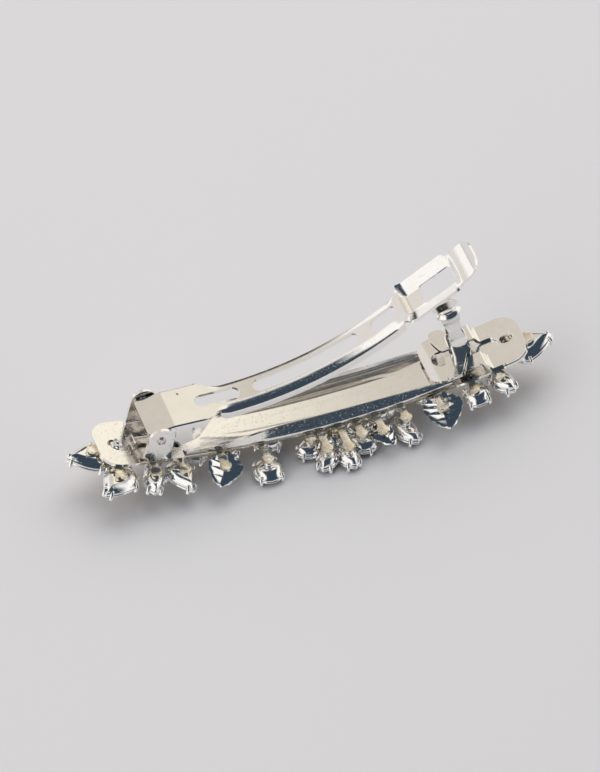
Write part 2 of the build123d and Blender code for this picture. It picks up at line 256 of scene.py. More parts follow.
def cutGrid(bm, stationsX, stationsY):
    # fills the outlines, then cuts the sheet at every station and drops the edges between them
    bmesh.ops.delete(bm, geom=bm.faces[:], context="FACES_ONLY")
    bmesh.ops.triangle_fill(bm, use_beauty=True, edges=bm.edges[:], normal=(0, 0, 1))
    for axis, stations in ((0, stationsX), (1, stationsY)):
        for place in stations:
            spot = (place, 0, 0) if axis == 0 else (0, place, 0)
            direction = (1, 0, 0) if axis == 0 else (0, 1, 0)
            everything = bm.verts[:] + bm.edges[:] + bm.faces[:]
            bmesh.ops.bisect_plane(bm, geom=everything, dist=1e-4, plane_co=spot, plane_no=direction)

    def slanted(edge):
        a, b = edge.verts
        return abs(a.co.x - b.co.x) > 1e-3 and abs(a.co.y - b.co.y) > 1e-3

    inner = [e for e in bm.edges if len(e.link_faces) == 2 and slanted(e)]
    bmesh.ops.dissolve_edges(bm, edges=inner, use_verts=False, use_face_split=False)
    loose = [v for v in bm.verts
             if len(v.link_edges) == 2 and all(len(e.link_faces) == 2 for e in v.link_edges)]
    bmesh.ops.dissolve_verts(bm, verts=loose)
    for face in bm.faces:
        if face.normal.z < 0:
            face.normal_flip()


def spaced(start, stop, step):
    count = max(1, round((stop - start) / step))
    return [start + (stop - start) * index / count for index in range(count + 1)]


def fold(across, start, radius, turn):
    # bends a sheet up past a fold line: returns how far out and how far up a point lands
    past = across - start
    if past <= 0:
        return across, 0.0
    arc = radius * turn
    angle = min(past, arc) / radius
    run = max(past - arc, 0.0)
    out = start + radius * sin(angle) + run * cos(turn)
    up = radius * (1 - cos(angle)) + run * sin(turn)
    return out, up


def step(value, low, high):
    part = min(max((value - low) / (high - low), 0.0), 1.0)
    return part * part * (3 - 2 * part)


def hump(distance, width):
    return exp(-(distance / width) ** 2)


def baseHeight(x):
    radius = baseShape["bendRadius"]
    return floorLow + radius - sqrt(radius ** 2 - x ** 2)


def onBase(x, y, rise):
    # a point above the base's curved upper face
    angle = asin(max(-0.9, min(0.9, x / baseShape["bendRadius"])))
    return Vector((x - rise * sin(angle), baseY + y, baseHeight(x) + rise * cos(angle)))


def baseMatrix(x, y, rise):
    angle = asin(x / baseShape["bendRadius"])
    spot = onBase(x, y - baseY, rise)
    return Matrix.Translation(spot) @ Matrix.Rotation(-angle, 4, "Y")


# one flat blank: tabs, tray and hinge ears are folded up from it, then bent to the clip's curve
basePlate = {
    "length": 80.0, "halfWidth": 5.3, "cornerRadius": 3.4, "wall": 0.6, "bend": 0.3,
    "trayEnd": 25.0, "foldAt": 3.9, "flangeRise": 2.0, "flangeRadius": 480.0, "bowRadius": 520.0,
    "lean": 38.0, "earX": -30.6, "earHalf": 2.55, "earTop": 7.4, "earRound": 2.25,
    "pivotHeight": 5.0, "boreRadius": 0.63, "holeX": 37.0, "holeRadius": 0.95,
    # drawn ridges along the floor: place across, height, width
    "ridges": [(-2.55, 0.15, 0.34), (-1.35, 0.11, 0.26), (0.35, 0.09, 0.30), (1.7, 0.10, 0.30),
               (2.75, 0.08, 0.24)],
}


def basePlateShape(v):
    bm = bmesh.new()
    end = v["length"] / 2
    half = v["halfWidth"]
    earFold = half - v["wall"] - v["bend"]
    earTop = earFold + v["bend"] * pi / 2 + v["earTop"] - v["bend"]
    flangeTop = v["foldAt"] + 2.4
    left, right = v["earX"] - v["earHalf"], v["earX"] + v["earHalf"]
    slit = 0.35
    upper = [(-end, half, v["cornerRadius"]), (left - slit, half, 0.3), (left - slit, earFold - 0.3, 0),
             (left, earFold - 0.3, 0), (left + 0.25, earTop, v["earRound"]),
             (right - 0.25, earTop, v["earRound"]), (right, earFold - 0.3, 0),
             (right + slit, earFold - 0.3, 0), (right + slit, half, 0.3),
             (-v["trayEnd"] - slit, half, 0.6), (-v["trayEnd"] - slit, v["foldAt"] - 0.3, 0),
             (-v["trayEnd"], v["foldAt"] - 0.3, 0), (-v["trayEnd"], flangeTop, 0),
             (v["trayEnd"], flangeTop, 0), (v["trayEnd"], v["foldAt"] - 0.3, 0),
             (v["trayEnd"] + slit, v["foldAt"] - 0.3, 0), (v["trayEnd"] + slit, half, 0.6),
             (end, half, v["cornerRadius"])]
    lower = [(x, -y, r) for x, y, r in reversed(upper)]
    ring(bm, upper + lower, 8)
    for side in (-1, 1):
        slotRing(bm, side * v["holeX"], 0, 2 * v["holeRadius"], v["holeRadius"])
        bore = earFold + v["bend"] * pi / 2 + v["pivotHeight"] - v["bend"]
        slotRing(bm, v["earX"], side * bore, 2 * v["boreRadius"], v["boreRadius"], 16)
    folds = [f for start in (v["foldAt"], earFold) for f in spaced(start, start + v["bend"] * pi / 2, 0.16)]
    flats = [0.0] + spaced(0.28, 3.9, 0.28) + spaced(6.4, 11.2, 0.8)
    across = sorted(set([round(f, 3) for f in folds] + flats))
    cutGrid(bm, spaced(-end, end, 1.0), [-y for y in across if y] + across)
    turn = pi / 2
    topCurve = floorLow + v["flangeRise"] + v["flangeRadius"]
    for vert in bm.verts:
        x, y, _ = vert.co
        side = 1 if y > 0 else -1
        away = abs(y)
        inTray = abs(x) <= v["trayEnd"] + 0.01
        bow = 0.0
        rise = 0.0
        if inTray:
            lean = radians(v["lean"]) * step(x, -20, -6)
            bow = sqrt(v["bowRadius"] ** 2 - x ** 2) - sqrt(v["bowRadius"] ** 2 - v["trayEnd"] ** 2)
            arc = v["bend"] * turn
            tall = topCurve - sqrt(v["flangeRadius"] ** 2 - x ** 2) - baseHeight(x)
            if away > v["foldAt"] + arc:
                share = (away - v["foldAt"] - arc) / (flangeTop - v["foldAt"] - arc)
                out, up = fold(v["foldAt"] + arc + share * (tall - v["bend"]), v["foldAt"], v["bend"], turn)
                out -= sin(lean) * (up - v["bend"])
            else:
                out, up = fold(away, v["foldAt"], v["bend"], turn)
            ends = 1 - step(abs(x), 12, 25)
            for place, tallness, width in v["ridges"]:
                fade = 0.25 + 0.75 * ends
                rise += tallness * hump(y - place * fade, width * (0.4 + 0.6 * ends)) * fade
            rise = rise if away < v["foldAt"] - 0.05 else 0.0
        elif left - 0.01 <= x <= right + 0.01:
            out, up = fold(away, earFold, v["bend"], turn)
        else:
            out, up = away, 0.0
        rise += up
        out += bow * min(away / v["foldAt"], 1.0)
        vert.co = onBase(x, side * out, rise)
    return bm


finishPiece("base_plate_detail", basePlateShape(basePlate), [trayPlate], "base",
            ["base_plate"], wall=basePlate["wall"], edge=0.07)
print("base plate made")


# the tongue between the hinge ears
tongue = {"length": 5.4, "halfWidth": 1.3, "wall": 0.35, "rise": 0.35, "climb": 9.0}


def tongueShape(v):
    bm = bmesh.new()
    ring(bm, [(-v["length"] / 2, -v["halfWidth"], 0.5), (v["length"] / 2, -v["halfWidth"], 0),
              (v["length"] / 2, v["halfWidth"], 0), (-v["length"] / 2, v["halfWidth"], 0.5)], 4)
    cutGrid(bm, spaced(-v["length"] / 2, v["length"] / 2, 0.6), spaced(-1.2, 1.2, 0.4))
    for vert in bm.verts:
        vert.co.z = v["rise"] + 0.25 - sin(radians(v["climb"])) * vert.co.x + 0.12 * hump(vert.co.y, 0.7)
    bmesh.ops.transform(bm, matrix=baseMatrix(basePlate["earX"] - 0.2, baseY, 0), verts=bm.verts[:])
    return bm


finishPiece("lanced_tongue", tongueShape(tongue), [armPlate], "base",
            wall=tongue["wall"], edge=0.06)


def beadShape(x, y, radius, tall):
    # a frozen drop of solder, lumpy and low
    bm = bmesh.new()
    bmesh.ops.create_icosphere(bm, subdivisions=4, radius=radius)
    for vert in bm.verts:
        lump = 1 + 0.10 * sin(5 * vert.co.x + 1.3) + 0.09 * cos(6.1 * vert.co.y + vert.co.x * 3)
        vert.co = Vector((vert.co.x * lump, vert.co.y * lump, max(vert.co.z * lump * tall / radius, -0.12)))
    bmesh.ops.transform(bm, matrix=baseMatrix(x, y, 0.02), verts=bm.verts[:])
    return bm


finishPiece("solder_bead_left", beadShape(-36.4, baseY - 0.3, 1.05, 0.62), [cupPlate], "base")
print("tongue and solder made")


# the second plate, raised over the catch and stepped down at its end tab
endPlate = {
    "start": 21.5, "deckEnd": 32.5, "end": 40.0, "halfWidth": 5.2, "deckRise": 2.2, "tabRise": 0.62,
    "wall": 0.6, "slotX": 29.4, "slotLength": 12.6, "slotHalf": 1.7, "holeX": 37.0, "holeRadius": 0.95,
}


def endPlateShape(v):
    bm = bmesh.new()
    half = v["halfWidth"]
    ring(bm, [(v["start"], -half, 2.6), (27.6, -half, 0.3), (27.9, -half + 0.9, 0.3),
              (30.9, -half + 0.9, 0.3), (31.2, -half, 0.3), (v["end"], -half, 3.4),
              (v["end"], half, 3.4), (v["start"], half, 2.6)], 8)
    slotRing(bm, v["slotX"], 0, v["slotLength"], v["slotHalf"], 32)
    slotRing(bm, v["holeX"], 0, 2 * v["holeRadius"] + 0.5, v["holeRadius"] * 0.9, 20)
    steps = spaced(v["deckEnd"] - 0.8, v["deckEnd"] + 0.3, 0.16)
    along = sorted(spaced(v["start"], 31.4, 0.4) + steps + spaced(33.0, v["end"], 0.4))
    cutGrid(bm, along, spaced(-half, half, 0.4))
    for vert in bm.verts:
        x, y, _ = vert.co
        drop = step(x, v["deckEnd"] - 0.8, v["deckEnd"] + 0.3)
        rise = v["deckRise"] * (1 - drop) + v["tabRise"] * drop
        rise -= 0.5 * step(x, v["start"] + 1.6, v["start"]) * (x < v["start"] + 1.6)
        ringAway = sqrt((x - 36.0) ** 2 + (y - 2.6) ** 2) - 0.9
        rise += 0.06 * hump(ringAway, 0.26)
        rise += 0.22 * hump(sqrt((x - 38.4) ** 2 + (y - 0.6) ** 2), 0.42)
        for dotX, dotY in ((33.6, 1.9), (34.4, 2.9)):
            rise += 0.09 * hump(sqrt((x - dotX) ** 2 + (y - dotY) ** 2), 0.28)
        vert.co = onBase(x, y, rise)
    return bm


finishPiece("end_plate_detail", endPlateShape(endPlate), [armPlate], "base", ["end_plate"],
            wall=endPlate["wall"] * 0.9, edge=0.08)
print("end plate made")


# tail, bend and root are X and height above the tray floor
arm = {
    "tail": (-31.7, 8.95), "bend": (-26.8, 9.6), "root": (-20.0, 9.3), "firstSlope": -3.0, "lastSlope": 32.5,
    "radius": 56.0, "run": 16.4, "curlRadius": 7.0, "curl": 36.0, "shoulderAt": 1.75, "shoulder": 17.0,
    "wall": 0.5, "windowAt": 11.8, "windowHalf": 3.45,
    "half": 3.5, "rootHalf": 4.45, "loopHalf": 4.5, "foldAt": 2.75, "foldRadius": 0.75, "drop": 1.15,
    "gussetFold": 4.1, "gussetRadius": 0.35, "loopTilt": 22.0, "loopDip": 0.85,
    "slots": [(-21.8, -13.4, 1.55), (-11.0, 8.8, 1.5), (11.0, 16.0, 1.65)],    # from X, to X, half width
}


def armPath(v, along):
    # the arm's upper face: a point in X and Z and its slope, by distance from the bend line
    tail, first, root = (Vector(v[key]) for key in ("tail", "bend", "root"))
    slope = radians(v["firstSlope"])
    flat = (root - first).length
    if along <= 0:
        direction = (first - tail).normalized()
        return first + direction * along, atan2(direction.y, direction.x)
    if along <= flat:
        direction = (root - first).normalized()
        return first + direction * along, atan2(direction.y, direction.x)
    centre = Vector((root.x - v["radius"] * sin(slope), root.y + v["radius"] * cos(slope)))
    sweep = radians(v["lastSlope"]) - slope
    angle = slope + min(along - flat, v["radius"] * sweep) / v["radius"]
    spot = Vector((centre.x + v["radius"] * sin(angle), centre.y - v["radius"] * cos(angle)))
    rest = along - flat - v["radius"] * sweep
    if rest <= 0:
        return spot, angle
    direction = Vector((cos(angle), sin(angle)))
    if rest <= v["run"]:
        return spot + direction * rest, angle
    spot = spot + direction * v["run"]
    rest -= v["run"]
    curlCentre = spot + Vector((-sin(angle), cos(angle))) * v["curlRadius"]
    turned = angle + rest / v["curlRadius"]
    return curlCentre + Vector((sin(turned), -cos(turned))) * v["curlRadius"], turned


def armAlong(v, x):
    # distance along the arm of a place given by its X
    low, high = -6.0, 70.0
    for _ in range(40):
        middle = (low + high) / 2
        if armPath(v, middle)[0].x < x:
            low = middle
        else:
            high = middle
    return low


def armShape(v):
    bm = bmesh.new()
    at = {name: armAlong(v, x) for name, x in (
        ("tail", -31.7), ("root", -20.0), ("neck", -18.2), ("flangeStart", -17.9), ("flangeEnd", 15.6),
        ("loopStart", 17.0), ("gussetStart", -31.0), ("gussetEnd", -20.4))}
    loopStart = at["loopStart"]
    runStart = (Vector(v["root"]) - Vector(v["bend"])).length
    runStart += v["radius"] * radians(v["lastSlope"] - v["firstSlope"])
    tip = runStart + v["run"] + v["curlRadius"] * radians(v["curl"])
    windowStart = runStart + v["windowAt"] - v["windowHalf"]
    windowEnd = runStart + v["windowAt"] + v["windowHalf"]
    flange = v["foldAt"] + v["foldRadius"] * pi / 2 + v["drop"]
    gusset = v["gussetFold"] + v["gussetRadius"] * pi / 2 - v["gussetRadius"]
    upper = [(at["tail"], v["rootHalf"] - 0.5, 0.4), (at["gussetStart"], v["rootHalf"] - 0.1, 0),
             (at["gussetStart"], gusset + 1.2, 0.4), (at["gussetStart"] + 0.6, gusset + 2.5, 0.8),
             (-1.2, gusset + 5.0, 0.7), (-0.1, gusset + 5.6, 0.7), (4.4, gusset + 4.2, 0.8),
             (at["gussetEnd"], gusset + 0.7, 0.3), (at["gussetEnd"], v["rootHalf"] - 0.1, 0.2),
             (at["neck"] - 0.3, v["half"] - 0.3, 0.4), (at["flangeStart"], v["foldAt"] + 0.2, 0),
             (at["flangeStart"], flange - 0.3, 0.3), (at["flangeStart"] + 1.2, flange, 0.4),
             (at["flangeEnd"], flange, 0.4), (at["flangeEnd"] + 0.5, v["foldAt"] + 0.4, 0),
             (at["flangeEnd"] + 0.9, v["half"] - 0.2, 0.3), (loopStart + 0.3, v["loopHalf"], 0.5),
             (windowEnd - 0.4, v["loopHalf"], 0.5), (windowEnd + 0.5, 3.75, 0.5), (tip, 3.75, 2.6)]
    lower = [(x, -y, r) for x, y, r in reversed(upper)]
    ring(bm, upper + lower, 6)
    for start, stop, half in v["slots"]:
        low, high = armAlong(v, start), armAlong(v, stop)
        slotRing(bm, (low + high) / 2, 0, high - low, half, 28)
    ring(bm, [(windowStart, 2.1, 0.7), (windowStart, -2.1, 0.7), (windowEnd, -2.1, 0.7),
              (windowEnd, 2.1, 0.7)], 5)
    pivotAlong = armAlong(v, pivotX)
    pivotDrop = armPath(v, pivotAlong)[0].y + floorLow - pivotZ
    for side in (-1, 1):
        slotRing(bm, pivotAlong, side * (gusset + pivotDrop), 1.4, 0.7, 16)
    slotRing(bm, 2.8, 2.9, 0.5, 0.25, 10)
    bends = spaced(v["foldAt"], v["foldAt"] + v["foldRadius"] * pi / 2, 0.13)
    bends += spaced(v["gussetFold"], v["gussetFold"] + v["gussetRadius"] * pi / 2, 0.14)
    across = sorted(set(round(y, 3) for y in bends + [0.7, 1.4, 1.9, 2.3, 5.6, 7.0, 8.4]))
    along = spaced(at["tail"], 0, 0.8) + spaced(0.1, 0.5, 0.2) + spaced(1.0, runStart, 0.8)
    along += spaced(runStart, runStart + v["run"], 0.5) + spaced(runStart + v["run"] + 0.2, tip, 0.3)
    cutGrid(bm, along, [-y for y in across] + [0.0] + across)
    for vert in bm.verts:
        u, y, _ = vert.co
        side = 1 if y > 0 else -1
        away = abs(y)
        out, down = away, 0.0
        if u <= at["gussetEnd"] + 0.02:
            out, down = fold(away, v["gussetFold"], v["gussetRadius"], pi / 2)
        elif at["flangeStart"] - 0.02 <= u <= at["flangeEnd"] + 0.55:
            out, down = fold(away, v["foldAt"], v["foldRadius"], pi / 2)
            shoulder = step(u, at["flangeStart"], at["flangeStart"] + 1.5)
            shoulder *= 1 - step(u, at["flangeEnd"] - 1.2, at["flangeEnd"] + 0.4)
            down += shoulder * tan(radians(v["shoulder"])) * max(out - v["shoulderAt"], 0)
            down -= shoulder * 0.25 * max(down - 1.2, 0)
        spot, slope = armPath(v, u)
        lift = 0.0
        inLoop = step(u, loopStart - 0.2, loopStart + 0.7) * (1 - step(u, windowEnd - 0.1, windowEnd + 0.9))
        inLoop = inLoop * step(away, 1.0, 2.0)
        lift += inLoop * (away - 1.9) * sin(radians(v["loopTilt"]))
        lift -= v["loopDip"] * step(u, loopStart, loopStart + 1.1) * (1 - step(u, windowEnd, windowEnd + 1.0))
        lift -= 0.16 * hump(sqrt((u - windowStart - 2.2) ** 2 + (y - 3.4) ** 2), 0.28)
        lift -= 0.16 * hump(sqrt((u - loopStart + 2.2) ** 2 + (y - 2.9) ** 2), 0.30)
        lift -= 0.22 * hump(sqrt((u + 2.6) ** 2 + (y + 0.3) ** 2), 0.45)
        for dotY in (-1.0, 1.1):
            lift += 0.18 * hump(sqrt((u - windowEnd - 1.5) ** 2 + (y - dotY) ** 2), 0.35)
        rise = lift - down
        height = floorLow + spot.y + rise * cos(slope)
        vert.co = Vector((spot.x - rise * sin(slope), baseY + side * out, height))
    return bm


finishPiece("clasp_arm_detail", armShape(arm), [armPlate], "arm", ["clasp_arm"],
            wall=arm["wall"], edge=0.06)
print("clasp arm made")


pin = {"radius": 0.6, "headRadius": 0.78, "headTall": 0.3}


def pinShape(v):
    # a straight pin with both ends hammered over
    bm = bmesh.new()
    low, high = pinLow.y, pinHigh.y
    head, tall = v["headRadius"], v["headTall"]
    profile = [(0.0, low), (0.35, low + 0.02), (head * 0.8, low + 0.1), (head, low + tall * 0.7),
               (head, low + tall), (v["radius"], low + tall + 0.02), (v["radius"], high - tall - 0.02),
               (head, high - tall), (head, high - tall * 0.7), (head * 0.8, high - 0.1),
               (0.35, high - 0.02), (0.0, high)]
    verts = [bm.verts.new((r, y, 0)) for r, y in profile]
    edges = [bm.edges.new(pair) for pair in zip(verts, verts[1:])]
    bmesh.ops.spin(bm, geom=verts + edges, cent=(0, 0, 0), axis=(0, 1, 0), angle=2 * pi, steps=28,
                   use_merge=True)
    bmesh.ops.remove_doubles(bm, verts=bm.verts[:], dist=1e-4)
    for vert in bm.verts:
        end = min(vert.co.y - low, high - vert.co.y)
        if end < 0.28:
            push = 0.07 * sin(7 * vert.co.x + 2) * cos(9 * vert.co.z)
            vert.co.y += push * (1 if vert.co.y < 0 else -1) * (1 if end > 0.07 else 0.5)
    bmesh.ops.recalc_face_normals(bm, faces=bm.faces[:])
    bmesh.ops.translate(bm, verts=bm.verts[:], vec=(pivotX, 0, pivotZ))
    return bm


finishPiece("hinge_pin_detail", pinShape(pin), [pinMetal], "base", ["hinge_pin"])
print("hinge pin made")


# two springy strips under half buttons, with pinch wings at their feet
catch = {"x": 28.9, "lean": 4.0, "height": 15.3, "gap": 0.75, "wall": 0.5, "width": 3.0, "start": 0.8,
         "headRadius": 2.4, "headTall": 2.0, "headStretch": 1.1, "wingRise": 2.6, "wingReach": 5.9}


def catchHalf(v, side):
    neck = bmesh.new()
    long = v["height"] - v["headTall"] - v["start"] + 0.15
    bmesh.ops.create_grid(neck, x_segments=10, y_segments=24, size=0.5)
    for vert in neck.verts:
        across, along = vert.co.x * 2, vert.co.y + 0.5
        half = v["width"] / 2 * (1 - 0.24 * hump(along - 0.66, 0.14) + 0.16 * step(along, 0.84, 0.98))
        half = half * (1 + 0.14 * (1 - step(along, 0.40, 0.44)))
        belly = 0.30 * (1 - step(along, 0.40, 0.46)) * (1 - across ** 6) + 0.22 * step(along, 0.80, 1.0)
        out = v["gap"] + v["wall"] * 0.92 + belly
        vert.co = Vector((across * half, side * out, v["start"] + along * long))
    for face in neck.faces:
        if face.normal.y * side < 0:
            face.normal_flip()
    wallMesh = bpy.data.meshes.new("neck")
    neck.to_mesh(wallMesh)
    neck.free()
    button = bmesh.new()
    low = v["height"] - v["headTall"]
    r = v["headRadius"]
    profile = [(0, low), (1.3, low + 0.02), (1.75, low + 0.18), (r - 0.35, low + 0.5), (r - 0.08, low + 0.82),
               (r - 0.02, low + 1.05), (r - 0.12, low + 1.25), (r - 0.5, low + 1.5), (r - 0.62, low + 1.72),
               (r - 1.0, low + 1.88), (0.9, low + 1.95), (0, low + 2.0)]
    verts = [button.verts.new((a, 0, z)) for a, z in profile]
    edges = [button.edges.new(pair) for pair in zip(verts, verts[1:])]
    bmesh.ops.spin(button, geom=verts + edges, cent=(0, 0, 0), axis=(0, 0, 1), angle=2 * pi, steps=48,
                   use_merge=True)
    bmesh.ops.remove_doubles(button, verts=button.verts[:], dist=1e-4)
    bmesh.ops.scale(button, verts=button.verts[:], vec=(v["headStretch"], 1, 1))
    bmesh.ops.recalc_face_normals(button, faces=button.faces[:])
    everything = button.verts[:] + button.edges[:] + button.faces[:]
    bmesh.ops.bisect_plane(button, geom=everything, plane_co=(0, side * v["gap"], 0),
                           plane_no=(0, side, 0), clear_inner=True, dist=1e-4)
    bmesh.ops.holes_fill(button, edges=[e for e in button.edges if len(e.link_faces) == 1], sides=0)
    bmesh.ops.recalc_face_normals(button, faces=button.faces[:])
    # the neck's wall is thickened here, then both parts share one mesh
    strip = bmesh.new()
    strip.from_mesh(wallMesh)
    everything = strip.verts[:] + strip.edges[:] + strip.faces[:]
    bmesh.ops.solidify(strip, geom=everything, thickness=v["wall"] * 0.85)
    bmesh.ops.recalc_face_normals(strip, faces=strip.faces[:])
    joined = bpy.data.meshes.new("joined")
    strip.to_mesh(joined)
    strip.free()
    button.from_mesh(joined)
    bpy.data.meshes.remove(joined)
    bpy.data.meshes.remove(wallMesh)
    place = baseMatrix(v["x"], baseY, 0) @ Matrix.Rotation(radians(-v["lean"]), 4, "Y")
    bmesh.ops.transform(button, matrix=place, verts=button.verts[:])
    wing = bmesh.new()
    reach = v["wingReach"]
    ring(wing, [(0.7, side * v["gap"], 0), (0.7, side * (v["gap"] + 0.4), 0.2), (-2.0, side * reach, 1.1),
                (-4.6, side * reach, 1.1), (-4.4, side * (reach - 2.2), 0.9), (-3.4, side * v["gap"], 0)], 6)
    bmesh.ops.recalc_face_normals(wing, faces=wing.faces[:])
    for face in wing.faces:
        if face.normal.z < 0:
            face.normal_flip()
    everything = wing.verts[:] + wing.edges[:] + wing.faces[:]
    bmesh.ops.solidify(wing, geom=everything, thickness=-v["wall"] * 0.9)
    bmesh.ops.recalc_face_normals(wing, faces=wing.faces[:])
    bmesh.ops.transform(wing, matrix=baseMatrix(v["x"], baseY, v["wingRise"]), verts=wing.verts[:])
    extra = bpy.data.meshes.new("wing")
    wing.to_mesh(extra)
    wing.free()
    button.from_mesh(extra)
    bpy.data.meshes.remove(extra)
    return button


for side, word in ((-1, "near"), (1, "far")):
    node = "catch_prong_" + word
    finishPiece(node + "_detail", catchHalf(catch, side), [armPlate], word + "_prong",
                [node], edge=0.07)
print("catch made")


# kind, X, Y, length, width, heading in degrees, and whether it stands on a stem
singleGems = {
    "left_end_pear": ("pear", -40.8, 3.2, 8.4, 6.0, 180, False),
    "left_corner_pear": ("pear", -37.6, -3.3, 8.4, 6.0, 222, False),
    "left_marquise": ("marquise", -31.2, -3.6, 6.6, 3.8, 255, False),
    "left_lower_pear": ("pear", -26.0, -3.8, 7.2, 5.2, 280, False),
    "drum_round": ("round", -11.0, -4.9, 5.4, 5.4, 0, True),
    "flower_centre": ("round", 2.6, -1.7, 4.0, 4.0, 0, True),
    "right_marquise": ("marquise", 15.2, -4.2, 7.0, 4.0, 290, True),
    "open_back_round": ("round", 28.4, -3.2, 4.8, 4.8, 0, False),
    "right_lower_marquise": ("marquise", 33.4, -2.6, 6.4, 3.8, 295, False),
    "right_end_pear": ("pear", 40.8, 2.6, 8.4, 6.0, 0, False),
    "far_left_pear": ("pear", -34.2, 6.6, 6.4, 4.4, 140, False),
    "far_middle_left_pear": ("pear", -17.6, 6.3, 6.2, 4.4, 110, True),
    "far_middle_pear": ("pear", 0.0, 6.2, 6.2, 4.4, 90, False),
    "far_middle_right_pear": ("pear", 17.6, 6.3, 6.2, 4.4, 70, True),
    "far_right_pear": ("pear", 34.2, 6.6, 6.4, 4.4, 40, False),
    "inner_left_pear": ("pear", -22.6, 1.4, 6.0, 4.2, 180, False),
    "inner_right_pear": ("pear", 21.0, 1.4, 6.0, 4.2, 0, False),
}
groupedGems = {
    "far_marquise": ("marquise", 6.0, 3.2, [(-26.2, 6.4, 115), (-8.6, 6.5, 100), (8.6, 6.5, 80),
                                            (26.0, 6.4, 65)]),
    "inner_marquise": ("marquise", 5.6, 3.2, [(-9.2, 0.4, 160), (12.6, 0.6, 20)]),
    "small_round": ("round", 3.4, 3.4, [(-30.0, 1.4, 0), (-16.0, 0.8, 0), (30.6, 2.2, 0)]),
}
petals = {"x": 2.6, "y": -1.7, "reach": 4.95, "length": 5.6, "width": 3.9,
          "headings": (190, 235, 280, 325, 10)}
setting = {"clawRadius": 0.32, "wall": 0.22, "underLattice": 1.44, "stemRadius": 0.85, "standsAt": 2.9}
# a claw from root to tip: share of the outline, height, thickness
clawPath = [(0.96, 0.75, 0.75), (1.06, 1.1, 1.0), (1.08, 1.9, 1.0), (1.06, 2.4, 1.05), (1.02, 2.68, 0.95),
            (1.0, 2.82, 0.6)]
# a stone's rings of points: share of its outline, height, points, turn
stoneRings = [(0.18, 0.55, 6, 0), (0.66, 1.05, 12, 0.26), (1.0, 1.72, 24, 0), (1.0, 1.86, 24, 0),
              (0.82, 2.24, 12, 0.26), (0.58, 2.5, 12, 0)]
# cup wall from its small flat back to the double rim: share of the outline, height
cupProfile = [(0.22, 0.0), (0.50, 0.06), (0.72, 0.28), (0.87, 0.66), (0.95, 1.05), (0.985, 1.18),
              (1.03, 1.22), (1.03, 1.50), (0.985, 1.56), (0.985, 1.74), (1.03, 1.80), (1.03, 2.06),
              (0.95, 2.12)]


def gemPoint(kind, length, width, angle):
    x = cos(angle) * length / 2
    y = sin(angle) * width / 2
    if kind == "pear":
        y *= abs(sin(angle / 2)) / 0.77
    if kind == "marquise":
        y *= abs(sin(angle)) ** 0.5
    return x, y


def cupShape(bm, kind, length, width, stem):
    # cup, claws and stem in the setting's own place, back at 0 and claws towards +Z
    around = 32
    made = bmesh.ops.create_circle(bm, cap_ends=True, segments=around, radius=1)
    angles = {vert: atan2(vert.co.y, vert.co.x) % (2 * pi) for vert in made["verts"]}
    loop = made["verts"]
    edges = list({e for vert in loop for e in vert.link_edges})
    start = True
    for share, height in cupProfile:
        if not start:
            grown = bmesh.ops.extrude_edge_only(bm, edges=edges)["geom"]
            fresh = [g for g in grown if isinstance(g, bmesh.types.BMVert)]
            edges = [g for g in grown if isinstance(g, bmesh.types.BMEdge)]
            parents = {}
            for vert in fresh:
                old = [e.other_vert(vert) for e in vert.link_edges if e.other_vert(vert) in angles]
                parents[vert] = angles[old[0]]
            angles = parents
            loop = fresh
        start = False
        for vert in loop:
            x, y = gemPoint(kind, length, width, angles[vert])
            inset = (1 - share) * min(length, width) / 2
            reach = max(sqrt(x * x + y * y), 1e-6)
            keep = max(reach - inset, reach * 0.18) / reach
            vert.co = Vector((x * keep, y * keep, height))
    bmesh.ops.recalc_face_normals(bm, faces=bm.faces[:])
    low = [f for f in bm.faces if f.calc_center_median().z < 0.01]
    if low and low[0].normal.z > 0:
        bmesh.ops.reverse_faces(bm, faces=bm.faces[:])
    bmesh.ops.solidify(bm, geom=bm.verts[:] + bm.edges[:] + bm.faces[:], thickness=setting["wall"])
    bmesh.ops.recalc_face_normals(bm, faces=bm.faces[:])
    clawCount = {"round": 4, "pear": 5, "marquise": 4}[kind]
    for index in range(clawCount):
        angle = 2 * pi * (index + 0.5) / clawCount
        x, y = gemPoint(kind, length, width, angle)
        addClaw(bm, Vector((x, y, 0)))
    if stem > 0.05:
        thick = setting["stemRadius"]
        rod = bmesh.ops.create_cone(bm, cap_ends=True, segments=20, radius1=thick, radius2=thick * 0.85,
                                    depth=stem + 0.1)
        bmesh.ops.translate(bm, verts=rod["verts"], vec=(0, 0, -stem / 2 + 0.02))


def addClaw(bm, spot):
    # a round claw that rises outside the rim and leans over the stone with a ball tip
    made = bmesh.ops.create_circle(bm, cap_ends=True, segments=10, radius=setting["clawRadius"])
    order = {vert: vert.co.copy() for vert in made["verts"]}
    faces = list({f for vert in order for f in vert.link_faces})
    for share, height, fat in clawPath:
        if height > clawPath[0][1]:
            grown = bmesh.ops.extrude_face_region(bm, geom=faces)["geom"]
            fresh = [g for g in grown if isinstance(g, bmesh.types.BMVert)]
            faces = [g for g in grown if isinstance(g, bmesh.types.BMFace)]
            mapped = {}
            for vert in fresh:
                old = [e.other_vert(vert) for e in vert.link_edges if e.other_vert(vert) in order]
                mapped[vert] = order[old[0]]
            order = mapped
        centre = spot * (1 + (share - 1) * 0.55 + 0.01)
        for vert, point in order.items():
            vert.co = Vector((centre.x + point.x * fat, centre.y + point.y * fat, height))


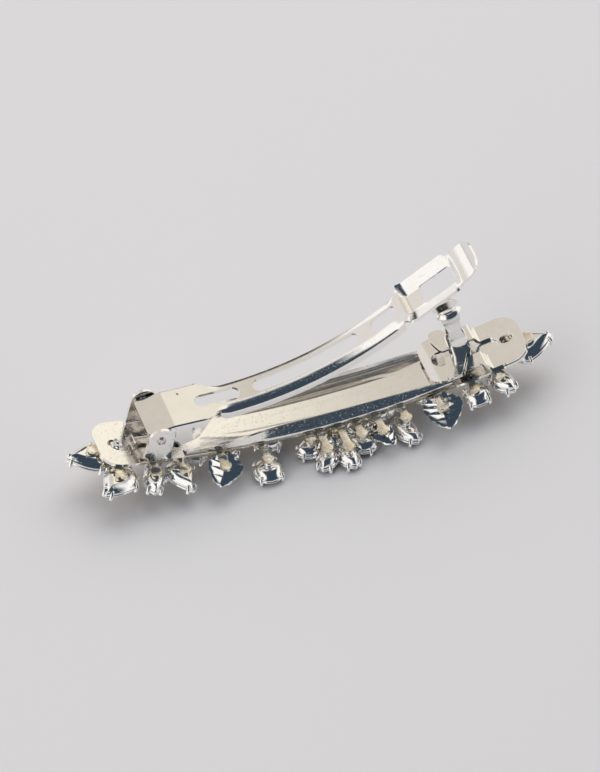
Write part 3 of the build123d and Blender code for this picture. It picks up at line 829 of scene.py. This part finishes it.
def stoneShape(bm, kind, length, width):
    # foil-backed stone: points in rings, wrapped into facets
    size = (length - 0.9, width - 0.9)
    points = []
    for share, height, count, turn in stoneRings:
        for index in range(count):
            angle = 2 * pi * index / count + turn
            x, y = gemPoint(kind, size[0] * share, size[1] * share, angle % (2 * pi))
            points.append(bm.verts.new((x, y, height)))
    hull = bmesh.ops.convex_hull(bm, input=points, use_existing_faces=False)
    inside = [g for g in hull["geom_interior"] + hull["geom_unused"] if isinstance(g, bmesh.types.BMVert)]
    bmesh.ops.delete(bm, geom=list(set(inside)), context="VERTS")
    flats = [e for e in bm.edges if len(e.link_faces) == 2 and e.calc_face_angle(1) < 0.03]
    bmesh.ops.dissolve_edges(bm, edges=flats, use_verts=False, use_face_split=False)
    bmesh.ops.recalc_face_normals(bm, faces=bm.faces[:])
    for face in bm.faces:
        face.material_index = 1 if face.calc_center_median().z < 1.7 else 0


def gemMatrix(x, y, heading, stands):
    turn = Matrix.Rotation(pi, 4, "X") @ Matrix.Rotation(radians(-heading), 4, "Z")
    if stands:
        return Matrix.Translation((x, y, setting["standsAt"])) @ turn
    return baseMatrix(x, y, -setting["underLattice"]) @ turn


def standingStem(x):
    return baseHeight(x) - 1.46 - setting["standsAt"] - 0.15


def addPlaced(target, build, matrix):
    # builds one thing in its own place and puts it into the target mesh
    part = bmesh.new()
    build(part)
    bmesh.ops.transform(part, matrix=matrix, verts=part.verts[:])
    mesh = bpy.data.meshes.new("part")
    part.to_mesh(mesh)
    part.free()
    target.from_mesh(mesh)
    bpy.data.meshes.remove(mesh)


def makeGems(settingNode, stoneNode, kind, length, width, places):
    cups = bmesh.new()
    stones = bmesh.new()
    for x, y, heading, stands in places:
        stem = standingStem(x) if stands else 0.0
        matrix = gemMatrix(x, y, heading, stands)
        addPlaced(cups, lambda part: cupShape(part, kind, length, width, stem), matrix)
        addPlaced(stones, lambda part: stoneShape(part, kind, length, width), matrix)
    finishPiece(settingNode + "_detail", cups, [cupPlate], "base", [settingNode])
    finishPiece(stoneNode + "_detail", stones, [crystal, foil], "base", [stoneNode], smooth=False)


for name, (kind, x, y, length, width, heading, stands) in singleGems.items():
    makeGems(name + "_setting", name + "_stone", kind, length, width, [(x, y, heading, stands)])
for name, (kind, length, width, places) in groupedGems.items():
    onPlate = [(x, y, heading, False) for x, y, heading in places]
    makeGems(name + "_settings", name + "_stones", kind, length, width, onPlate)
petalPlaces = []
for heading in petals["headings"]:
    turn = radians(heading)
    petalX = petals["x"] + petals["reach"] * cos(turn)
    petalY = petals["y"] + petals["reach"] * sin(turn)
    petalPlaces.append((petalX, petalY, heading, True))
makeGems("flower_petal_settings", "flower_petal_stones", "marquise", petals["length"], petals["width"],
         petalPlaces)
print("spray made:", len(singleGems) + len(groupedGems) + 1, "groups")


# X, Y, length, width, heading, ribs
leaves = {
    "ribbed_leaf_left": (-18.8, -4.6, 9.2, 6.2, 240, 6),
    "folded_leaf": (10.4, -5.2, 7.2, 4.2, 290, 5),
    "ribbed_leaf_right": (22.0, -4.6, 9.4, 7.2, 262, 7),
}


def leafShape(bm, length, width, ribs):
    # a pointed leaf pressed into sharp ribs that sweep back from its middle line
    perRib = 6
    bmesh.ops.create_grid(bm, x_segments=ribs * perRib, y_segments=16, size=0.5)
    for vert in bm.verts:
        u, v = vert.co.x * 2, vert.co.y * 2
        y = v * width / 2 * (1 - abs(u) ** 1.7)
        x = u * length / 2 - 0.35 * abs(y) * (1 - u * u)
        wave = (vert.co.x + 0.5) * ribs
        ridge = abs((wave % 1.0) * 2 - 1)
        vert.co = Vector((x, y, 0.22 + 0.95 * ridge * (1 - u ** 4) * (1 - 0.6 * v ** 4) + 0.16 * v * v))
    bmesh.ops.remove_doubles(bm, verts=bm.verts[:], dist=1e-3)
    for face in bm.faces:
        if face.normal.z > 0:
            face.normal_flip()


for name, (x, y, length, width, heading, ribs) in leaves.items():
    shape = bmesh.new()
    addPlaced(shape, lambda part: leafShape(part, length, width, ribs), gemMatrix(x, y, heading, False))
    finishPiece(name + "_detail", shape, [cupPlate], "base", [name], wall=0.22, edge=0.05)
print("leaves made")


def softCopy(node, name, materials, body, edge):
    # the CAD shape with its edges softened
    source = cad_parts[node]
    bm = bmesh.new()
    bm.from_mesh(source.data)
    bmesh.ops.transform(bm, matrix=source.matrix_world, verts=bm.verts[:])
    bmesh.ops.scale(bm, verts=bm.verts[:], vec=(1 / mm, 1 / mm, 1 / mm))
    bmesh.ops.remove_doubles(bm, verts=bm.verts[:], dist=1e-3)
    return finishPiece(name, bm, materials, body, [node], edge=edge)


# the lattice wears the painted-shade finish
softCopy("backing_lattice", "backing_lattice_detail", [latticeShadePaint], "base", 0.12)
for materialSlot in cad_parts["catch_foot"].material_slots:
    materialSlot.material = armPlate
print("lattice made")


studio = {
    "aim": (-1.65, 4.70, 10.2), "azimuth": -19.54, "elevation": 47.36, "lens": 250.0, "distance": 949.5,
    "floor": (0.80, 0.795, 0.82), "sky": (1.0, 0.985, 0.965), "backdrop": (0.78, 0.77, 0.78),
    "skyStrength": 1.0, "gap": (0.04, 0.06, 0.085), "backGap": (0.05, 0.05, 0.05),
}


def makeFloor(v):
    bm = bmesh.new()
    bmesh.ops.create_grid(bm, x_segments=1, y_segments=1, size=2.0)
    mesh = bpy.data.meshes.new("floor")
    bm.to_mesh(mesh)
    bm.free()
    floor = bpy.data.objects.new("floor", mesh)
    bpy.context.scene.collection.objects.link(floor)
    material, nodes, shader, where = newMaterial("pale card", {"Roughness": 0.9})
    mottle = nodes.noise(where, 3.0, 2.0, 0.5)
    feed(nodes, shader, "Base Color", nodes.mix(mottle, v["floor"], tuple(c * 0.985 for c in v["floor"])))
    mesh.materials.append(material)


def makeSky(v):
    # an even pale studio, with the dark gaps between the soft boxes that bright metal mirrors
    world = bpy.data.worlds.new("studio")
    bpy.context.scene.world = world
    world.use_nodes = True
    tree = world.node_tree
    nodes = Nodes(tree)
    background = tree.nodes["Background"]
    direction = nodes.add("ShaderNodeTexCoord", {}, {}, "Generated")

    def part(axis):
        return nodes.add("ShaderNodeSeparateXYZ", {}, {0: direction}, axis)

    x, y, z = part(0), part(1), part(2)
    # soft boxes overhead and behind run from warm on the right, through grey, to pale on the left
    warm = nodes.mix(nodes.spread(x, 0.06, 0.42), (0.62, 0.575, 0.51), (0.98, 0.925, 0.80))
    overhead = nodes.mix(nodes.spread(x, 0.02, -0.42), warm, (0.74, 0.70, 0.68))
    upper = nodes.spread(y, 0.15, 0.45) * nodes.spread(z, 0.22, 0.42)
    sky = nodes.mix(upper, v["sky"], overhead)
    front = nodes.spread(y, 0.30, 0.10) * nodes.spread(z, 0.0, 0.06) * nodes.spread(x, -0.58, -0.40)
    front = front * nodes.spread(x, 0.80, 0.62)
    back = nodes.spread(y, 0.70, 0.88) * nodes.spread(z, 0.36, 0.24) * nodes.spread(x, -0.26, -0.06)
    sky = nodes.mix(front, sky, v["gap"])
    sky = nodes.mix(back, sky, v["backGap"])
    plain = nodes.add("ShaderNodeLightPath", {}, {}, "Is Camera Ray")
    seen = nodes.mix(plain, sky, v["backdrop"])
    tree.links.new(seen.socket, background.inputs["Color"])
    background.inputs["Strength"].default_value = v["skyStrength"]


def makeLight(name, place, target, size, power, colour):
    data = bpy.data.lights.new(name, "AREA")
    data.shape = "DISK"
    data.size = size
    data.energy = power
    data.color = colour
    lamp = bpy.data.objects.new(name, data)
    spot = Vector(place)
    turn = (Vector(target) - spot).to_track_quat("-Z", "Y")
    lamp.matrix_world = Matrix.Translation(spot) @ turn.to_matrix().to_4x4()
    lamp.visible_glossy = False    # the metal mirrors the studio instead
    bpy.context.scene.collection.objects.link(lamp)


def makeCamera(v):
    data = bpy.data.cameras.new("camera")
    data.lens = v["lens"]
    data.sensor_width = 36.0
    data.clip_start = 0.01
    data.clip_end = 20
    camera = bpy.data.objects.new("camera", data)
    a, e = radians(v["azimuth"]), radians(v["elevation"])
    away = Vector((sin(a) * cos(e), -cos(a) * cos(e), sin(e)))
    aim = Vector(v["aim"]) * mm
    spot = aim + away * v["distance"] * mm
    camera.matrix_world = Matrix.Translation(spot) @ (-away).to_track_quat("-Z", "Y").to_matrix().to_4x4()
    bpy.context.scene.collection.objects.link(camera)
    bpy.context.scene.camera = camera


makeFloor(studio)
makeSky(studio)
makeLight("key box", (0.15, 0.30, 0.75), (0, 0, 0), 0.9, 2.6, (1.0, 0.99, 0.97))
makeLight("left box", (-0.55, -0.10, 0.40), (0, 0, 0), 0.7, 0.7, (1.0, 1.0, 1.0))
makeCamera(studio)
bpy.context.scene.view_settings.view_transform = "Standard"
print("studio made")
